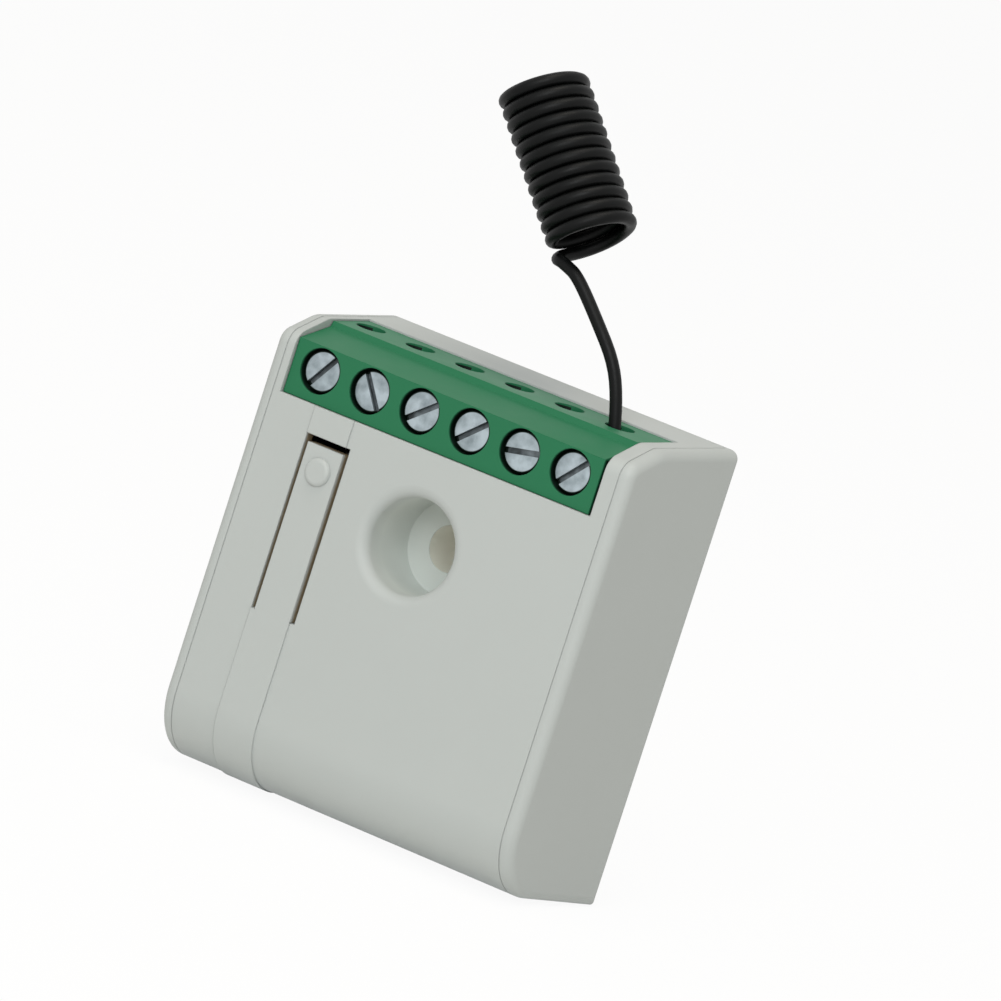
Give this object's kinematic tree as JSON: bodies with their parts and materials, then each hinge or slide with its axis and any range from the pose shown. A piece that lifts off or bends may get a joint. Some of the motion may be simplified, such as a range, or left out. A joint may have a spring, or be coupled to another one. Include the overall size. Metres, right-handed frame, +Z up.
{
  "type": "relay receiver module",
  "caption": "Boxed radio relay module for a wall box, with a green screw terminal block, a learn button, a fixing screw well and a coiled wire antenna.",
  "frame": {"origin": "middle of the case's footprint at the height of its lowest edge", "axes": "+X to the right as seen from the front, +Y to the back, +Z up with the terminals on top; the front face looks along -Y"},
  "size_m": [0.036, 0.0178, 0.0656],
  "materials": {
    "case_plastic": "fine spark texture, light warm grey",
    "terminal_plastic": "satin green",
    "screw_steel": "zinc plated",
    "cage_steel": "nickel plated",
    "contact_metal": "tinned brass",
    "spring_metal": "bright spring bronze",
    "soft_iron": "plated iron",
    "copper_wire": "enamelled copper",
    "relay_plastic": "moulded dark grey",
    "bobbin_plastic": "moulded natural white",
    "black_plastic": "moulded black",
    "film_case": "moulded box",
    "can_sleeve": "shrunk sleeve",
    "disc_coating": "dipped coating",
    "resistor_coating": "flameproof coating",
    "crystal_can": "drawn can",
    "chip_ceramic": "fired ceramic",
    "board_laminate": "green solder mask",
    "wire_cover": "soft black insulation"
  },
  "bodies": {
    "module": {"front_cover": "case_plastic", "rear_housing": "case_plastic", "terminal_body": "terminal_plastic", "contact_bars": "contact_metal", "relay_cover": "relay_plastic", "relay_base": "relay_plastic", "relay_bobbin": "bobbin_plastic", "relay_winding": "copper_wire", "relay_core": "soft_iron", "relay_yoke": "soft_iron", "relay_contacts": "contact_metal", "switch_body": "black_plastic", "switch_plate": "soft_iron", "switch_dome": "spring_metal", "film_capacitor": "film_case", "electrolytic_capacitor": "can_sleeve", "varistor": "disc_coating", "fuse_resistor": "resistor_coating", "relay_transistor": "black_plastic", "radio_board": "board_laminate", "radio_header": "black_plastic", "radio_chip": "black_plastic", "radio_crystal": "crystal_can", "controller_chip": "black_plastic", "rectifier_diodes": "black_plastic", "chip_parts": "chip_ceramic", "circuit_board": "board_laminate", "antenna_lead": "wire_cover", "antenna_coil": "wire_cover"},
    "screw_1": {"terminal_screw_1": "screw_steel"},
    "clamp_1": {"clamp_cage_1": "cage_steel"},
    "screw_2": {"terminal_screw_2": "screw_steel"},
    "clamp_2": {"clamp_cage_2": "cage_steel"},
    "screw_3": {"terminal_screw_3": "screw_steel"},
    "clamp_3": {"clamp_cage_3": "cage_steel"},
    "screw_4": {"terminal_screw_4": "screw_steel"},
    "clamp_4": {"clamp_cage_4": "cage_steel"},
    "screw_5": {"terminal_screw_5": "screw_steel"},
    "clamp_5": {"clamp_cage_5": "cage_steel"},
    "screw_6": {"terminal_screw_6": "screw_steel"},
    "clamp_6": {"clamp_cage_6": "cage_steel"},
    "button": {"learn_button": "case_plastic"},
    "plunger": {"switch_plunger": "black_plastic"},
    "armature": {"relay_armature": "soft_iron", "relay_spring": "spring_metal"}
  },
  "joints": [
    {"name": "screw_1_turn", "type": "hinge", "parent": "module", "child": "screw_1", "pos_m": [-0.0132, -0.00709, 0.03575], "axis": [0, 1, 0], "range_deg": [0, 1440]},
    {"name": "clamp_1_slide", "type": "slide", "parent": "module", "child": "clamp_1", "axis": [0, -1, 0], "range_m": [0, 0.002]},
    {"name": "screw_2_turn", "type": "hinge", "parent": "module", "child": "screw_2", "pos_m": [-0.00812, -0.00709, 0.03575], "axis": [0, 1, 0], "range_deg": [0, 1440]},
    {"name": "clamp_2_slide", "type": "slide", "parent": "module", "child": "clamp_2", "axis": [0, -1, 0], "range_m": [0, 0.002]},
    {"name": "screw_3_turn", "type": "hinge", "parent": "module", "child": "screw_3", "pos_m": [-0.00304, -0.00709, 0.03575], "axis": [0, 1, 0], "range_deg": [0, 1440]},
    {"name": "clamp_3_slide", "type": "slide", "parent": "module", "child": "clamp_3", "axis": [0, -1, 0], "range_m": [0, 0.002]},
    {"name": "screw_4_turn", "type": "hinge", "parent": "module", "child": "screw_4", "pos_m": [0.00204, -0.00709, 0.03575], "axis": [0, 1, 0], "range_deg": [0, 1440]},
    {"name": "clamp_4_slide", "type": "slide", "parent": "module", "child": "clamp_4", "axis": [0, -1, 0], "range_m": [0, 0.002]},
    {"name": "screw_5_turn", "type": "hinge", "parent": "module", "child": "screw_5", "pos_m": [0.00712, -0.00709, 0.03575], "axis": [0, 1, 0], "range_deg": [0, 1440]},
    {"name": "clamp_5_slide", "type": "slide", "parent": "module", "child": "clamp_5", "axis": [0, -1, 0], "range_m": [0, 0.002]},
    {"name": "screw_6_turn", "type": "hinge", "parent": "module", "child": "screw_6", "pos_m": [0.0122, -0.00709, 0.03575], "axis": [0, 1, 0], "range_deg": [-1087.2, 0]},
    {"name": "clamp_6_slide", "type": "slide", "parent": "module", "child": "clamp_6", "axis": [0, -1, 0], "range_m": [-0.00151, 0]},
    {"name": "button_press", "type": "hinge", "parent": "module", "child": "button", "pos_m": [-0.0102, -0.00779, 0.01525], "axis": [-1, 0, 0], "range_deg": [0, 1.4], "stiffness_Nm_per_rad": 0.004},
    {"name": "plunger_slide", "type": "slide", "parent": "module", "child": "plunger", "axis": [0, 1, 0], "range_m": [0, 0.000309], "stiffness_N_per_m": 10},
    {"name": "armature_rock", "type": "hinge", "parent": "module", "child": "armature", "pos_m": [0.0117, -0.00574, 0.01663], "axis": [-1, 0, 0], "range_deg": [0, 4.6], "stiffness_Nm_per_rad": 0.03}
  ],
  "couplings": [
    {"joint": "screw_1_turn", "follows": "clamp_1_slide", "rad_per_m": 12566},
    {"joint": "screw_2_turn", "follows": "clamp_2_slide", "rad_per_m": 12566},
    {"joint": "screw_3_turn", "follows": "clamp_3_slide", "rad_per_m": 12566},
    {"joint": "screw_4_turn", "follows": "clamp_4_slide", "rad_per_m": 12566},
    {"joint": "screw_5_turn", "follows": "clamp_5_slide", "rad_per_m": 12566},
    {"joint": "screw_6_turn", "follows": "clamp_6_slide", "rad_per_m": 12566},
    {"joint": "button_press", "follows": "plunger_slide", "rad_per_m": 79}
  ]
}
